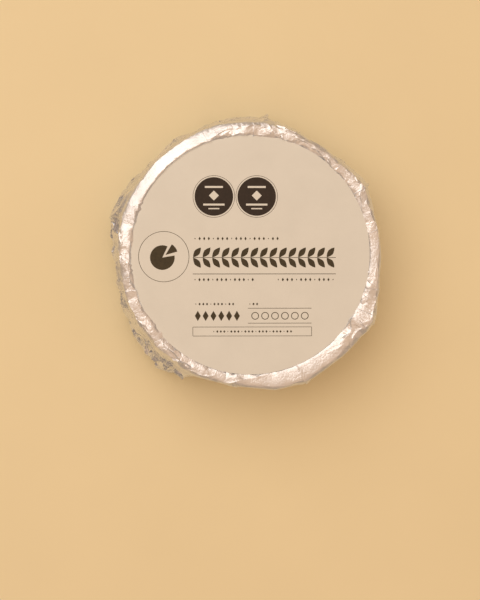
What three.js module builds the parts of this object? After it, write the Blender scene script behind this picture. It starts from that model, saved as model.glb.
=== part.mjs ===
// A small soft-ripened cheese wheel in a foil wrap, with a round paper label on top.
//
// Three separate pieces: the cheese, one sheet of foil folded over its top, down its side and in under its
// base, and the paper label, which lies in the shallow dish that the gathered foil leaves on top.
// Millimetres, +Z up. The origin is under the middle of the wrapped wheel, on the surface it stands on.
// The foil's pleats don't quite meet under the base, so they leave a small opening in its middle.

import * as THREE from "three";

// Cheese
const CHEESE_RADIUS = 52.6;
const CHEESE_BULGE = 0.4;
const CHEESE_HEIGHT = 29;
const CHEESE_EDGE_RADIUS = 5;

// Foil: this thickness is the depth of the crumpled layers, not of one bare sheet
const FOIL_THICKNESS = 0.8;
const CLEARANCE = 0.3;
const BASE_OPENING_RADIUS = 5;
const BASE_EDGE_HEIGHT = 2.4;

// Label, which isn't quite central, and the raised lip of gathered foil round it
const LABEL_RADIUS = 50.5;
const LABEL_THICKNESS = 0.3;
const LABEL_OFFSET = new THREE.Vector2(-0.8, 1);
const LIP_RISE = 1.3;

// Outline of the wrap seen from above: the surplus stands out in corners, with straight stretches between.
// Each entry is a corner's direction in degrees from +X and how far it stands out from the round side.
const FOIL_OUTLINE = [
  [8, 0.3],
  [34, 3.2],
  [46, 3.2],
  [58, 1.2],
  [71, 2.4],
  [84, 6.6],
  [105, 5.3],
  [121, 5.4],
  [136, 4.8],
  [149, 5.8],
  [162, 7.8],
  [176, 4.8],
  [200, 3.7],
  [212, 4.8],
  [231, 7.1],
  [244, 3],
  [262, 1.1],
  [280, 2.9],
  [294, 4.2],
  [312, 2.7],
  [332, 4.8],
  [348, 1.3],
];

const ROUND_STEPS = 120;
const EDGE_STEPS = 5;

// Radii and heights worked out from the driving sizes
const CHEESE_BASE = FOIL_THICKNESS + CLEARANCE;
const CHEESE_TOP = CHEESE_BASE + CHEESE_HEIGHT;
const FOIL_TOP = CHEESE_TOP + CLEARANCE + FOIL_THICKNESS;
const LABEL_BASE = FOIL_TOP + CLEARANCE;
const LIP_TOP = FOIL_TOP + LIP_RISE;
const SIDE_RADIUS = CHEESE_RADIUS + CHEESE_BULGE + CLEARANCE + FOIL_THICKNESS;
const DISH_RADIUS = LABEL_RADIUS + LABEL_OFFSET.length() + CLEARANCE;

const bloomyRind = new THREE.MeshStandardMaterial({ color: 0xf1ead8, roughness: 0.9, metalness: 0 });
const crumpledFoil = new THREE.MeshStandardMaterial({ color: 0xd9d4cc, roughness: 0.3, metalness: 1 });
const labelPaper = new THREE.MeshStandardMaterial({ color: 0xe6dccb, roughness: 0.8, metalness: 0 });

// Points along an arc, from one angle to another in degrees, without its first point.
function arc(centreX, centreY, radius, fromDegrees, toDegrees) {
  const points = [];
  for (let i = 1; i <= EDGE_STEPS; i++) {
    const angle = THREE.MathUtils.degToRad(THREE.MathUtils.lerp(fromDegrees, toDegrees, i / EDGE_STEPS));
    points.push(new THREE.Vector2(centreX + radius * Math.cos(angle), centreY + radius * Math.sin(angle)));
  }
  return points;
}

// The cheese: a low drum with rounded edges and a side that bulges a little.
function cheeseGeometry() {
  const flatRadius = CHEESE_RADIUS - CHEESE_EDGE_RADIUS;
  const lowCentre = CHEESE_BASE + CHEESE_EDGE_RADIUS;
  const highCentre = CHEESE_TOP - CHEESE_EDGE_RADIUS;
  const profile = [
    new THREE.Vector2(0, CHEESE_BASE),
    new THREE.Vector2(flatRadius, CHEESE_BASE),
    ...arc(flatRadius, lowCentre, CHEESE_EDGE_RADIUS, -90, 0),
    new THREE.Vector2(CHEESE_RADIUS + CHEESE_BULGE, (lowCentre + highCentre) / 2),
    new THREE.Vector2(CHEESE_RADIUS, highCentre),
    ...arc(flatRadius, highCentre, CHEESE_EDGE_RADIUS, 0, 90),
    new THREE.Vector2(0, CHEESE_TOP),
  ];
  return new THREE.LatheGeometry(profile, ROUND_STEPS).rotateX(Math.PI / 2);
}

// How far the foil stands out in a direction: on the straight line between two corners, or on the round side.
function standOutAt(direction) {
  for (let i = 0; i < FOIL_OUTLINE.length; i++) {
    const [from, start] = FOIL_OUTLINE[i];
    const [to, end] = FOIL_OUTLINE[(i + 1) % FOIL_OUTLINE.length];
    const span = THREE.MathUtils.degToRad(THREE.MathUtils.euclideanModulo(to - from, 360));
    const along = THREE.MathUtils.degToRad(THREE.MathUtils.euclideanModulo(direction - from, 360));
    if (along < span) {
      const first = SIDE_RADIUS + start;
      const second = SIDE_RADIUS + end;
      const spread = first * Math.sin(along) + second * Math.sin(span - along);
      return Math.max((first * second * Math.sin(span)) / spread - SIDE_RADIUS, 0);
    }
  }
}

// The foil's section: out along the top, over the lip, down the side, in to the base opening and back inside.
// Each point is [radius, height, share of the outline's stand-out that it follows].
function foilSection() {
  const innerSide = SIDE_RADIUS - FOIL_THICKNESS;
  return [
    [0, FOIL_TOP, 0],
    [DISH_RADIUS, FOIL_TOP, 0],
    [DISH_RADIUS + 0.4, FOIL_TOP + 0.6 * LIP_RISE, 0],
    [SIDE_RADIUS - 1.2, LIP_TOP, 0.1],
    [SIDE_RADIUS - 0.5, LIP_TOP - 0.3, 0.3],
    [SIDE_RADIUS, FOIL_TOP - 1.4, 0.7],
    [SIDE_RADIUS, FOIL_TOP - 5, 0.95],
    [SIDE_RADIUS, FOIL_TOP / 2, 1],
    [SIDE_RADIUS - 0.2, 3 * BASE_EDGE_HEIGHT, 1],
    [SIDE_RADIUS - 0.8, BASE_EDGE_HEIGHT, 0.9],
    [SIDE_RADIUS - 2, 0.25 * BASE_EDGE_HEIGHT, 0.75],
    [SIDE_RADIUS - 3.4, 0, 0.6],
    [BASE_OPENING_RADIUS, 0, 0],
    [BASE_OPENING_RADIUS, FOIL_THICKNESS, 0],
    [innerSide - 2.8, FOIL_THICKNESS, 0.6],
    [innerSide - 1.4, FOIL_THICKNESS + 0.3 * BASE_EDGE_HEIGHT, 0.75],
    [innerSide - 0.6, FOIL_THICKNESS + BASE_EDGE_HEIGHT, 0.9],
    [innerSide, 3 * BASE_EDGE_HEIGHT, 1],
    [innerSide, FOIL_TOP / 2, 1],
    [innerSide, FOIL_TOP - 5.4, 0.95],
    [innerSide - 0.2, FOIL_TOP - 2.2, 0.7],
    [innerSide - 0.8, FOIL_TOP - FOIL_THICKNESS, 0.1],
    [0, FOIL_TOP - FOIL_THICKNESS, 0],
  ];
}

// The foil wrap: its section turned round the axis, then drawn out to the outline.
function foilGeometry() {
  const section = foilSection().reverse();
  const profile = section.map(([radius, height]) => new THREE.Vector2(radius, height));
  const geometry = new THREE.LatheGeometry(profile, ROUND_STEPS).rotateX(Math.PI / 2);
  const position = geometry.getAttribute("position");
  for (let i = 0; i < position.count; i++) {
    const [radius, , share] = section[i % section.length];
    if (radius === 0) continue;
    const direction = THREE.MathUtils.radToDeg(Math.atan2(position.getY(i), position.getX(i)));
    const scale = (radius + share * standOutAt(direction)) / radius;
    position.setXY(i, position.getX(i) * scale, position.getY(i) * scale);
  }
  geometry.computeVertexNormals();
  return geometry;
}

function labelGeometry() {
  return new THREE.CylinderGeometry(LABEL_RADIUS, LABEL_RADIUS, LABEL_THICKNESS, ROUND_STEPS)
    .rotateX(Math.PI / 2)
    .translate(LABEL_OFFSET.x, LABEL_OFFSET.y, LABEL_BASE + LABEL_THICKNESS / 2);
}

function namedMesh(name, geometry, material) {
  const mesh = new THREE.Mesh(geometry, material);
  mesh.name = name;
  return mesh;
}

const wrappedWheel = new THREE.Group();
wrappedWheel.add(namedMesh("cheese_wheel", cheeseGeometry(), bloomyRind));
wrappedWheel.add(namedMesh("foil_wrap", foilGeometry(), crumpledFoil));
wrappedWheel.add(namedMesh("paper_label", labelGeometry(), labelPaper));

// The corners stand out unevenly, so the whole is moved until the origin is under the middle of its box.
const middle = new THREE.Box3().setFromObject(wrappedWheel).getCenter(new THREE.Vector3());
wrappedWheel.position.set(-middle.x, -middle.y, 0);

export default wrappedWheel;
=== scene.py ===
import math
from itertools import product

import bpy
import numpy as np
from bpy.props import FloatProperty, FloatVectorProperty, IntProperty, PointerProperty
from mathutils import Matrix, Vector
from mathutils.geometry import delaunay_2d_cdt


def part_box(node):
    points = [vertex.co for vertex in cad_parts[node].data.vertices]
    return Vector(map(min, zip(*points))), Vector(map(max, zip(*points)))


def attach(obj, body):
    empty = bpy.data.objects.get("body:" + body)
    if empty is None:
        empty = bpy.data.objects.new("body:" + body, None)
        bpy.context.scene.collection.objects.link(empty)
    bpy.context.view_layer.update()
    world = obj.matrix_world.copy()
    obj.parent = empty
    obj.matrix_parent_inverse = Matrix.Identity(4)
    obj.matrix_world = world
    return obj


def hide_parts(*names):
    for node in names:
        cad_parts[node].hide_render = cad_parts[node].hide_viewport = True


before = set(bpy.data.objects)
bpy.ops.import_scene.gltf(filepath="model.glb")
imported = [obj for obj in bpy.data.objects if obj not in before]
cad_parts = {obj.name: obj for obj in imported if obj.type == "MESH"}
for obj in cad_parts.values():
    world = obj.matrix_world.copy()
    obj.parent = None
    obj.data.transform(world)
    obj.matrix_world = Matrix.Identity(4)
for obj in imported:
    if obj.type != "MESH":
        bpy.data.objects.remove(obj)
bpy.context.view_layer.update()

bl_info = {
    "name": "Foil-Wrapped Cheese Wheel",
    "version": (1, 0, 0),
    "blender": (4, 5, 0),
    "location": "View3D > Sidebar > Cheese Wheel",
    "description": "Models a small cheese wheel, its crumpled foil wrap and its printed paper label",
    "category": "Add Mesh",
}

# Blender's lengths are metres. Every size in this file is in millimetres until it is multiplied by MM.
MM = 0.001

CHEESE_LOW, CHEESE_HIGH = (np.array(corner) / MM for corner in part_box("cheese_wheel"))
LABEL_LOW, LABEL_HIGH = (np.array(corner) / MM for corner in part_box("paper_label"))
AXIS = (CHEESE_LOW[:2] + CHEESE_HIGH[:2]) / 2
LABEL_CENTRE = (LABEL_LOW[:2] + LABEL_HIGH[:2]) / 2
CHEESE_RADIUS = (CHEESE_HIGH[0] - CHEESE_LOW[0]) / 2
LABEL_RADIUS = (LABEL_HIGH[0] - LABEL_LOW[0]) / 2
LABEL_OFFSET = LABEL_CENTRE - AXIS
LABEL_TOP = LABEL_HIGH[2]
FOIL_TOP = LABEL_LOW[2] - 0.3          # the flat foil under the label


# ---------------------------------------------------------------- settings

def length_setting(name, description, default):
    return FloatProperty(
        name=name, description=description, default=default * MM, subtype="DISTANCE", unit="LENGTH"
    )


def colour_setting(name, description, hex_colour):
    return FloatVectorProperty(
        name=name, description=description, size=3, subtype="COLOR", min=0, max=1,
        default=linear(hex_colour)[:3],
    )


def linear(hex_colour):
    """An sRGB hex colour, such as "#E4D9C8", as a linear RGBA tuple."""
    channels = [int(hex_colour[i:i + 2], 16) / 255 for i in (1, 3, 5)]
    return tuple(c / 12.92 if c <= 0.04045 else ((c + 0.055) / 1.055) ** 2.4 for c in channels) + (1.0,)


class CheeseSettings(bpy.types.PropertyGroup):
    edge_radius: length_setting("Edge radius", "Rounding of the cheese's two edges", 5.0)
    rind_colour: colour_setting("Rind", "Colour of the white mould rind", "#EFE6D2")


class FoilSettings(bpy.types.PropertyGroup):
    facet_size: length_setting("Facet size", "Usual width of the small facets of the crumpled foil", 2.1)
    fold_size: length_setting("Fold size", "Usual distance between the larger folds", 3.6)
    fold_depth: length_setting("Fold depth", "How far the larger folds stand from the smooth wrap", 0.34)
    crinkle_depth: length_setting("Crinkle depth", "How far the small facets' corners stand out", 0.06)
    pleats: IntProperty(
        name="Pleats", description="Pleats pressed into the side all round", default=40, min=8, max=90
    )
    seed: IntProperty(name="Seed", description="Changes every fold of the foil", default=11, min=0)
    colour: colour_setting("Foil", "Colour of the bare aluminium", "#EAEEF8")


class LabelSettings(bpy.types.PropertyGroup):
    thickness: length_setting("Thickness", "Thickness of the label's paper", 0.22)
    paper_colour: colour_setting("Paper", "Colour of the label's paper", "#E7ECED")
    ink_colour: colour_setting("Ink", "Colour of the print", "#3E3724")
    badge_colour: colour_setting("Badge ink", "Colour of the two solid badges", "#2B211B")


class StageSettings(bpy.types.PropertyGroup):
    camera_distance: FloatProperty(
        name="Camera distance", description="From the camera to the label", default=0.75, unit="LENGTH"
    )
    camera_tilt: FloatProperty(
        name="Camera tilt", description="Angle of the view from straight down", default=math.radians(3.0),
        subtype="ANGLE", unit="ROTATION",
    )
    key_power: FloatProperty(
        name="Key light", description="Power of the main light", default=7.4, subtype="POWER"
    )
    ambient: FloatProperty(name="Ambient", description="Strength of the light from all round", default=1.0)
    floor_colour: colour_setting("Floor", "Colour of the ground", "#F3EAC9")


# ---------------------------------------------------------------- small tools

def deselect_all():
    if bpy.context.object and bpy.context.object.mode != "OBJECT":
        bpy.ops.object.mode_set(mode="OBJECT")
    bpy.ops.object.select_all(action="DESELECT")


def make_active(piece):
    deselect_all()
    piece.select_set(True)
    bpy.context.view_layer.objects.active = piece


def name_piece(name):
    piece = bpy.context.object
    piece.name = name
    piece.data.name = name
    return piece


def place_in_mesh(piece):
    """Moves the object's place, turn and scale into its mesh."""
    make_active(piece)
    bpy.ops.object.transform_apply(location=True, rotation=True, scale=True)


def apply_modifier(piece, kind, **settings):
    make_active(piece)
    modifier = piece.modifiers.new(kind.title(), kind)
    for key, value in settings.items():
        setattr(modifier, key, value)
    bpy.ops.object.modifier_apply(modifier=modifier.name)


def vertex_array(piece):
    """The mesh's vertices in millimetres, one row each."""
    places = np.empty(len(piece.data.vertices) * 3)
    piece.data.vertices.foreach_get("co", places)
    return places.reshape(-1, 3) / MM


def set_vertices(piece, places):
    piece.data.vertices.foreach_set("co", (np.asarray(places) * MM).ravel())
    piece.data.update()


def finish_piece(piece, slot, material, *nodes):
    piece.data.materials.clear()
    piece.data.materials.append(material)
    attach(piece, "root")
    if nodes:
        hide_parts(*nodes)


def angle_between(a, b):
    """a minus b in degrees, from -180 to 180."""
    return (np.asarray(a) - b + 180) % 360 - 180


# ---------------------------------------------------------------- materials

def new_material(name):
    material = bpy.data.materials.new(name)
    material.use_nodes = True
    material.node_tree.nodes.clear()
    return material


def add_node(tree, kind, settings=None, sockets=None, links=None):
    """Adds a node, sets its settings and socket values, and links its inputs to other nodes' outputs."""
    node = tree.nodes.new(kind)
    for key, value in (settings or {}).items():
        setattr(node, key, value)
    for key, value in (sockets or {}).items():
        node.inputs[key].default_value = value
    for key, output in (links or {}).items():
        tree.links.new(output, node.inputs[key])
    return node


def colour_ramp(tree, factor, stops):
    ramp = add_node(tree, "ShaderNodeValToRGB", links={"Fac": factor})
    elements = ramp.color_ramp.elements
    while len(elements) < len(stops):
        elements.new(0.5)
    for element, (place, colour) in zip(elements, stops):
        element.position = place
        element.color = colour
    return ramp


def map_range(tree, value, from_low, from_high, to_low, to_high):
    return add_node(
        tree, "ShaderNodeMapRange",
        sockets={"From Min": from_low, "From Max": from_high, "To Min": to_low, "To Max": to_high},
        links={"Value": value},
    )


def per_metre(size_mm):
    """A texture scale whose pattern repeats about every size_mm."""
    return 1 / (size_mm * MM)


def shade(colour, factor):
    """The colour made lighter or darker by a factor."""
    return tuple(min(1.0, c * factor) for c in colour[:3]) + (1.0,)


def start_material(name):
    """A new material's tree, and each point's place on its own piece."""
    material = new_material(name)
    tree = material.node_tree
    return material, tree, add_node(tree, "ShaderNodeTexCoord").outputs["Object"]


def noise(tree, place, size_mm, detail, roughness=0.5):
    return add_node(
        tree, "ShaderNodeTexNoise",
        sockets={"Scale": per_metre(size_mm), "Detail": detail, "Roughness": roughness},
        links={"Vector": place},
    ).outputs["Fac"]


def bump(tree, height, strength, depth_mm, under=None):
    """The normal of a relief, laid over another relief where one is given."""
    links = {"Height": height} if under is None else {"Height": height, "Normal": under}
    sockets = {"Strength": strength, "Distance": depth_mm * MM}
    return add_node(tree, "ShaderNodeBump", sockets=sockets, links=links).outputs["Normal"]


def finish_material(tree, sockets, links):
    surface = add_node(tree, "ShaderNodeBsdfPrincipled", sockets=sockets, links=links)
    add_node(tree, "ShaderNodeOutputMaterial", links={"Surface": surface.outputs["BSDF"]})


def rolled_foil_material(colour):
    """Household aluminium foil, cold rolled, then crumpled by hand.

    The rolled face is bright. Its faint rolling lines are not modelled. Handling leaves hair-fine wrinkles that
    break up each facet's reflection, and dull patches where the foil has been rubbed. The lip, where the sheet
    is gathered most, is dulled to satin by wrinkles too fine to model.
    """
    material, tree, place = start_material("rolled_aluminium_foil")
    rubbed = noise(tree, place, 9, 4.0, 0.6)
    rubbed_roughness = map_range(tree, rubbed, 0.3, 0.7, 0.15, 0.27)
    height = add_node(tree, "ShaderNodeSeparateXYZ", links={"Vector": place}).outputs["Z"]
    gathered = map_range(tree, height, 27 * MM, FOIL_TOP * MM, 0.0, 0.17)
    roughness = add_node(
        tree, "ShaderNodeMath", {"operation": "ADD"},
        links={0: rubbed_roughness.outputs["Result"], 1: gathered.outputs["Result"]},
    )
    tint = colour_ramp(tree, rubbed, [(0.3, shade(colour, 1.0)), (0.7, shade(colour, 0.9))])
    bent = add_node(
        tree, "ShaderNodeTexNoise", sockets={"Scale": per_metre(4), "Detail": 2.0}, links={"Vector": place}
    )
    shifted = add_node(
        tree, "ShaderNodeMix", {"data_type": "VECTOR"}, sockets={0: 0.0025},
        links={4: place, 5: bent.outputs["Color"]},
    )
    wrinkles = add_node(
        tree, "ShaderNodeTexVoronoi", {"feature": "DISTANCE_TO_EDGE"}, sockets={"Scale": per_metre(1.6)},
        links={"Vector": shifted.outputs[1]},
    )
    wrinkle_height = map_range(tree, wrinkles.outputs["Distance"], 0.0, 0.25, 0.0, 1.0)
    fine = bump(tree, noise(tree, place, 0.8, 3.0, 0.55), 0.3, 0.045)
    relief = bump(tree, wrinkle_height.outputs["Result"], 0.5, 0.075, under=fine)
    finish_material(
        tree, {"Metallic": 1.0},
        {"Base Color": tint.outputs["Color"], "Roughness": roughness.outputs["Value"], "Normal": relief},
    )
    return material


def uncoated_paper_material(colour):
    """Uncoated label paper: matte, with faint clouding and a felt-side grain from its pressed fibres."""
    material, tree, place = start_material("uncoated_label_paper")
    clouds = noise(tree, place, 14, 5.0, 0.6)
    fibres = noise(tree, place, 0.5, 3.0, 0.7)
    tint = colour_ramp(tree, clouds, [(0.3, shade(colour, 0.97)), (0.7, shade(colour, 1.02))])
    finish_material(
        tree, {"Roughness": 0.8, "IOR": 1.5},
        {"Base Color": tint.outputs["Color"], "Normal": bump(tree, fibres, 0.25, 0.03)},
    )
    return material


def printing_ink_material(name, colour):
    """Offset ink dried into paper: near matte, a little uneven where the fibres took it up."""
    material, tree, place = start_material(name)
    uptake = noise(tree, place, 1.2, 4.0)
    tint = colour_ramp(tree, uptake, [(0.35, shade(colour, 0.85)), (0.7, shade(colour, 1.25))])
    finish_material(tree, {"Roughness": 0.62, "IOR": 1.48}, {"Base Color": tint.outputs["Color"]})
    return material


def bloomy_rind_material(colour):
    """White mould rind: a matte felt with cream patches showing through and a soft bright edge."""
    material, tree, place = start_material("bloomy_mould_rind")
    patches = noise(tree, place, 7, 6.0, 0.65)
    felt = noise(tree, place, 0.7, 4.0, 0.7)
    tint = colour_ramp(
        tree, patches, [(0.3, shade(colour, 1.03)), (0.55, shade(colour, 0.98)), (0.75, linear("#DCC79C"))]
    )
    finish_material(
        tree, {"Roughness": 0.95, "IOR": 1.45, "Sheen Weight": 0.25, "Sheen Roughness": 0.6},
        {"Base Color": tint.outputs["Color"], "Normal": bump(tree, felt, 0.6, 0.2)},
    )
    return material


def seamless_paper_material(colour):
    """Seamless background paper: a plain matte ground with hardly any grain."""
    material, tree, place = start_material("background_paper")
    clouds = noise(tree, place, 60, 3.0)
    tint = colour_ramp(tree, clouds, [(0.3, shade(colour, 0.985)), (0.7, shade(colour, 1.01))])
    finish_material(
        tree, {"Roughness": 0.9, "Specular IOR Level": 0.2}, {"Base Color": tint.outputs["Color"]}
    )
    return material


# ---------------------------------------------------------------- cheese

CHEESE_SIDES = 96
BEVEL_STEPS = 6
FACE_RINGS = 9                # rings cut into each flat face
FACE_RING_WIDTH = 4.6


def select_flat_faces(piece, straightness):
    """Selects the faces that look up or down, and leaves the piece in edit mode."""
    for face in piece.data.polygons:
        face.select = abs(face.normal.z) > straightness
    bpy.ops.object.mode_set(mode="EDIT")


def model_cheese(settings):
    """The cheese: a low round drum with round edges, a bulging side and a slightly uneven skin."""
    deselect_all()
    height = CHEESE_HIGH[2] - CHEESE_LOW[2]
    side_radius = CHEESE_RADIUS - 0.5
    bpy.ops.mesh.primitive_cylinder_add(
        vertices=CHEESE_SIDES, radius=side_radius * MM, depth=height * MM,
        location=(AXIS[0] * MM, AXIS[1] * MM, (CHEESE_LOW[2] + height / 2) * MM), end_fill_type="NGON",
    )
    piece = name_piece("cheese_body")
    place_in_mesh(piece)
    bpy.ops.object.mode_set(mode="EDIT")
    bpy.ops.mesh.select_mode(type="FACE")
    bpy.ops.mesh.select_all(action="DESELECT")
    bpy.ops.object.mode_set(mode="OBJECT")
    select_flat_faces(piece, 0.9)
    bpy.ops.mesh.bevel(offset=settings.edge_radius, segments=BEVEL_STEPS, affect="EDGES")
    bpy.ops.object.mode_set(mode="OBJECT")
    select_flat_faces(piece, 0.999)
    for _ in range(FACE_RINGS):
        bpy.ops.mesh.inset(thickness=FACE_RING_WIDTH * MM)
    bpy.ops.object.mode_set(mode="OBJECT")
    apply_modifier(piece, "SUBSURF", subdivision_type="SIMPLE", levels=1, render_levels=1)
    places = vertex_array(piece)
    out = places[:, :2] - AXIS
    radius = np.hypot(out[:, 0], out[:, 1])
    turn = np.arctan2(out[:, 1], out[:, 0])
    up = (places[:, 2] - CHEESE_LOW[2]) / height
    bulge = 0.2 * np.sin(np.pi * np.clip(up, 0, 1))
    uneven = 0.12 * np.sin(5 * turn + 1.0) * np.sin(7 * up) + 0.05 * np.sin(17 * turn + 9 * up)
    moved = np.clip(radius / side_radius, 0, 1) ** 8 * (bulge + uneven)
    places[:, :2] += out / np.maximum(radius, 1e-6)[:, None] * moved[:, None]
    dimple = 0.1 * (np.sin(0.21 * out[:, 0] + 0.8) * np.sin(0.17 * out[:, 1]) - 1)
    places[:, 2] += np.where(up > 0.5, 1, -1) * dimple * (radius < side_radius - 5)
    set_vertices(piece, places)
    bpy.ops.object.shade_smooth()
    return piece


class CHEESE_OT_cheese(bpy.types.Operator):
    """Model the cheese inside the foil"""

    bl_idname = "cheese.cheese"
    bl_label = "Cheese"

    def execute(self, context):
        settings = context.scene.cheese_wheel
        piece = model_cheese(settings)
        finish_piece(piece, "bloomy_rind", bloomy_rind_material(tuple(settings.rind_colour)), "cheese_wheel")
        return {"FINISHED"}


# ---------------------------------------------------------------- foil

# The wrap's section, from the middle of the top, over the lip and down the side to the opening in the base.
# Each row is a radius and a height, the share of the label's offset that the foil follows there, the share of
# its outline's corners, first for a corner that stands out low down and then for one near the top, and how
# much a lip that slopes outwards is raised there.
WRAP_SECTION = (
    (0.0, FOIL_TOP, 0.0, 0.0, 0.0, 0.0),
    (40.0, FOIL_TOP, 0.5, 0.0, 0.0, 0.0),
    (47.0, FOIL_TOP, 0.9, 0.0, 0.0, 0.0),
    (50.2, FOIL_TOP, 1.0, 0.0, 0.0, 0.0),
    (50.42, FOIL_TOP + 0.1, 1.0, 0.0, 0.0, 0.0),
    (50.6, FOIL_TOP + 0.55, 1.0, 0.0, 0.0, 0.45),
    (51.0, FOIL_TOP + 0.75, 0.9, 0.0, 0.06, 0.5),
    (52.4, FOIL_TOP + 0.95, 0.5, 0.02, 0.4, -0.15),
    (53.7, FOIL_TOP + 0.8, 0.15, 0.04, 0.78, -0.75),
    (54.5, FOIL_TOP - 0.1, 0.0, 0.07, 0.93, -0.4),
    (54.8, 28.8, 0.0, 0.16, 0.97, 0.0),
    (54.3, 25.0, 0.0, 0.36, 1.0, 0.0),
    (54.1, 19.0, 0.0, 0.72, 0.95, 0.0),
    (54.1, 13.0, 0.0, 0.97, 0.85, 0.0),
    (54.0, 7.0, 0.0, 1.0, 0.75, 0.0),
    (53.4, 2.6, 0.0, 0.88, 0.65, 0.0),
    (52.0, 0.6, 0.0, 0.75, 0.6, 0.0),
    (50.0, 0.15, 0.0, 0.6, 0.5, 0.0),
    (40.0, 0.15, 0.0, 0.3, 0.3, 0.0),
    (20.0, 0.15, 0.0, 0.0, 0.0, 0.0),
    (5.5, 0.15, 0.0, 0.0, 0.0, 0.0),
)

# The inside of the wrap, from the opening back up to the middle of the top.
LINING_SECTION = (
    (5.5, 0.7), (49.6, 0.7), (52.6, 2.4), (53.35, 8.0), (53.35, 27.0), (52.8, 29.6), (50.6, FOIL_TOP - 0.6),
)

# Outline seen from above: direction in degrees, how far the foil stands out from the round side,
# and whether it does so near the top (1) or low down (0).
FOIL_OUTLINE = (
    (8, 0.0, 1.0), (34, 2.6, 0.9), (58, 0.8, 0.9), (71, 2.1, 0.7), (84, 5.7, 0.5), (105, 5.2, 0.6),
    (121, 5.0, 0.6), (136, 4.6, 0.65), (149, 5.6, 0.5), (162, 7.4, 0.4), (176, 4.4, 0.5), (200, 3.6, 0.4),
    (212, 4.7, 0.2), (231, 6.8, 0.0), (244, 2.0, 0.4), (262, 0.5, 1.0), (280, 2.6, 1.0), (294, 3.7, 1.0),
    (312, 2.4, 1.0), (332, 4.2, 1.0), (348, 0.8, 0.8),
)

# How much of the outward slope the lip has in each direction.
LIP_SLOPE = (
    (0, 0.0), (60, 0.0), (95, 0.5), (110, 1.0), (150, 1.0), (172, 0.6), (200, 0.3), (230, 0.0), (300, -0.3),
)

# Sharp ears where the sheet's surplus is pinched together: direction, distance along the section where each
# begins and ends, how far it stands out, and how far its crest leans over to one side.
FOIL_EARS = (
    (31, 53.5, 84, 1.2, 1.4), (46, 60, 82, 2.6, -1.0), (84, 57, 80, 0.8, 1.8), (122, 58, 80, 1.0, 1.6),
    (162, 57, 84, 1.2, 1.6), (170, 58, 80, 0.9, -1.2), (223, 62, 84, 1.0, 1.2), (229, 62, 84, 1.2, -2.0),
    (238, 60, 84, 1.4, 1.6), (293, 55, 82, 0.9, 0.8), (332, 56, 84, 1.0, -1.2),
)

# Folds that run round the side or slant down it, where a corner was pushed down: direction, half width in
# degrees, distance along the section, how far it stands out, and how much it slants.
FOIL_ROLLS = (
    (40, 20, 59.5, 1.3, 2.0), (93, 15, 60.0, 1.2, 2.5), (124, 9, 60.5, 1.9, -1.5), (165, 14, 60.5, 2.1, 3.0),
    (196, 15, 59.5, 1.8, 2.5), (228, 14, 61.0, 2.1, -3.5), (352, 14, 62.0, 0.6, 4.0),
    (300, 16, 64.0, 0.6, -5.0),
    (165, 8, 66, 2.3, 5.0), (157, 7, 71, 2.2, -4.0), (169, 8, 78, 2.5, 4.0), (160, 6, 84, 2.2, -3.0),
    (231, 11, 80, 2.9, 5.0), (222, 8, 75, 2.5, -6.0), (238, 8, 72, 2.3, 6.0), (213, 8, 79, 2.3, -5.0),
    (227, 7, 86, 2.6, 3.0), (236, 6, 87, 2.3, -2.0), (148, 7, 76, 1.6, 5.0), (176, 7, 71, 1.8, -5.0),
    (86, 8, 68, 1.0, -7.0), (93, 7, 76, 0.9, 6.0), (77, 7, 80, 0.9, 6.0), (46, 6, 64, 1.2, 4.0),
    (54, 7, 73, 1.1, -7.0), (140, 7, 69, 1.1, -6.0), (114, 7, 75, 1.2, 7.0), (129, 6, 77, 1.1, -6.0),
    (196, 8, 70, 1.1, 7.0), (184, 6, 75, 1.0, -6.0), (204, 6, 77, 1.0, 6.0), (22, 9, 73, 1.1, 8.0),
    (8, 8, 69, 1.0, -7.0), (333, 7, 70, 1.0, 6.0), (319, 8, 75, 1.1, -8.0), (284, 9, 75, 1.1, -8.0),
    (264, 8, 71, 1.1, 7.0), (251, 7, 78, 1.1, -6.0), (66, 7, 74, 1.0, -6.0), (345, 7, 78, 1.0, 6.0),
)

# Creases that cross the lip: direction, height of the step and how far it leans over.
LIP_CREASES = (
    (11, 0.2, 0.3), (31, 0.45, -0.6), (47, 0.3, 0.4), (75, 0.3, -0.4), (90, 0.3, 0.4), (111, 0.16, 0.3),
    (197, 0.35, -0.4), (262, 0.3, 0.4), (293, 0.5, -0.5), (320, 0.3, -0.4), (329, 0.4, 0.5), (336, 0.4, -0.5),
    (344, 0.4, 0.5),
)

# How rough the crumpling is in each direction: calm stretches are pulled tight, and lively ones gather the
# surplus.
FOIL_LIVELINESS = (
    (356, 0.12), (5, 0.12), (13, 0.6), (20, 0.7), (32, 1.2), (48, 0.9), (62, 0.9), (78, 1.3), (92, 1.3),
    (107, 0.7), (114, 0.1), (148, 0.1), (158, 0.8), (175, 1.1), (200, 0.9), (222, 1.1), (243, 1.3),
    (258, 1.0), (270, 0.35), (312, 0.3), (320, 1.0), (332, 1.6), (345, 1.2),
)

# Where folds of the lip lap over the label's edge: direction, half width in degrees and reach.
LIP_LAPS = (
    (47, 4, 0.9), (75, 4, 0.8), (90, 5, 0.5), (110, 3, 0.5), (197, 3, 0.6), (214, 4, 0.5), (262, 3, 0.6),
    (301, 4, 0.4), (328, 3, 0.9), (334, 3, 1.2), (340, 3, 0.9), (347, 3, 0.8),
)

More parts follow.
